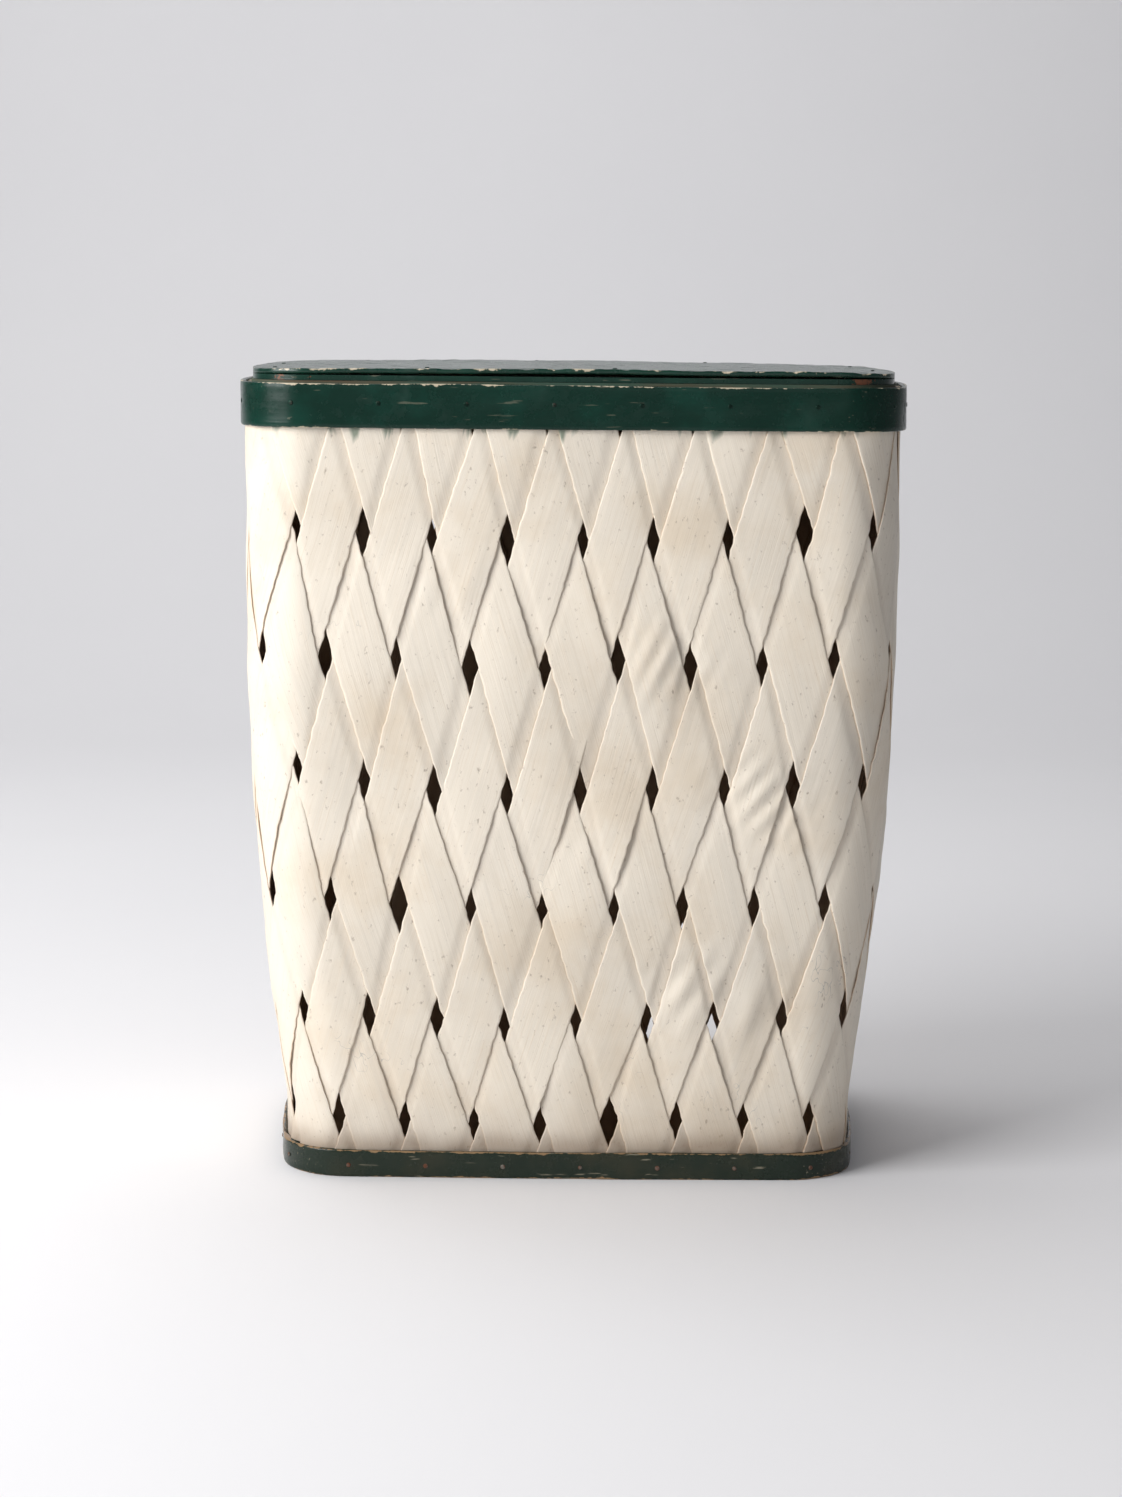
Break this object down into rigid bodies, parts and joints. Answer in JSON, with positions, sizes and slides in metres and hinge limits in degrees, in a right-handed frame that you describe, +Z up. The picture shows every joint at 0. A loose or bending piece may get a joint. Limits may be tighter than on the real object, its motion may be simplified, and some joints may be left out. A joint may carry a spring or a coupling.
{
  "type": "splint hamper basket",
  "caption": "Tall hamper basket woven on the bias from wide flat wooden splints, with a bent rim band, a foot band, a base board and a lid on two back hinges",
  "frame": {"origin": "centre of the underside, on the surface that the hamper stands on", "axes": "+X to the right seen from the front, +Y to the back where the hinges are, +Z up"},
  "size_m": [0.5118, 0.3307, 0.6097],
  "materials": {
    "cream_splint": "satin",
    "green_paint": "gloss",
    "worn_green_foot": "satin",
    "hoop_wood": "satin",
    "bare_board": "matte",
    "hinge_steel": "satin",
    "rusty_nail": "matte"
  },
  "bodies": {
    "basket": {"base_board": "bare_board", "foot_band": "worn_green_foot", "foot_nails": "rusty_nail", "rim_outer_band": "green_paint", "rim_inner_hoop": "hoop_wood", "rim_nails": "rusty_nail", "right_leaning_splints_01": "cream_splint", "right_leaning_splints_02": "cream_splint", "right_leaning_splints_03": "cream_splint", "right_leaning_splints_04": "cream_splint", "right_leaning_splints_05": "cream_splint", "right_leaning_splints_06": "cream_splint", "right_leaning_splints_07": "cream_splint", "right_leaning_splints_08": "cream_splint", "right_leaning_splints_09": "cream_splint", "right_leaning_splints_10": "cream_splint", "right_leaning_splints_11": "cream_splint", "right_leaning_splints_12": "cream_splint", "right_leaning_splints_13": "cream_splint", "right_leaning_splints_14": "cream_splint", "left_leaning_splints_01": "cream_splint", "left_leaning_splints_02": "cream_splint", "left_leaning_splints_03": "cream_splint", "left_leaning_splints_04": "cream_splint", "left_leaning_splints_05": "cream_splint", "left_leaning_splints_06": "cream_splint", "left_leaning_splints_07": "cream_splint", "left_leaning_splints_08": "cream_splint", "left_leaning_splints_09": "cream_splint", "left_leaning_splints_10": "cream_splint", "left_leaning_splints_11": "cream_splint", "left_leaning_splints_12": "cream_splint", "left_leaning_splints_13": "cream_splint", "left_leaning_splints_14": "cream_splint", "left_hinge_rim_leaf": "hinge_steel", "right_hinge_rim_leaf": "hinge_steel", "left_hinge_pin": "hinge_steel", "right_hinge_pin": "hinge_steel", "rim_leaf_nails": "rusty_nail"},
    "lid": {"lid_frame_front_strip": "green_paint", "lid_frame_back_strip": "green_paint", "lid_frame_left_end": "green_paint", "lid_frame_right_end": "green_paint", "lid_panel": "green_paint", "lid_tacks": "rusty_nail", "left_hinge_lid_leaf": "hinge_steel", "right_hinge_lid_leaf": "hinge_steel", "lid_leaf_nails": "rusty_nail"}
  },
  "joints": [
    {"name": "lid_hinge", "type": "hinge", "parent": "basket", "child": "lid", "pos_m": [0, 0.16464, 0.5979], "axis": [-1, 0, 0], "range_deg": [0, 225]}
  ]
}
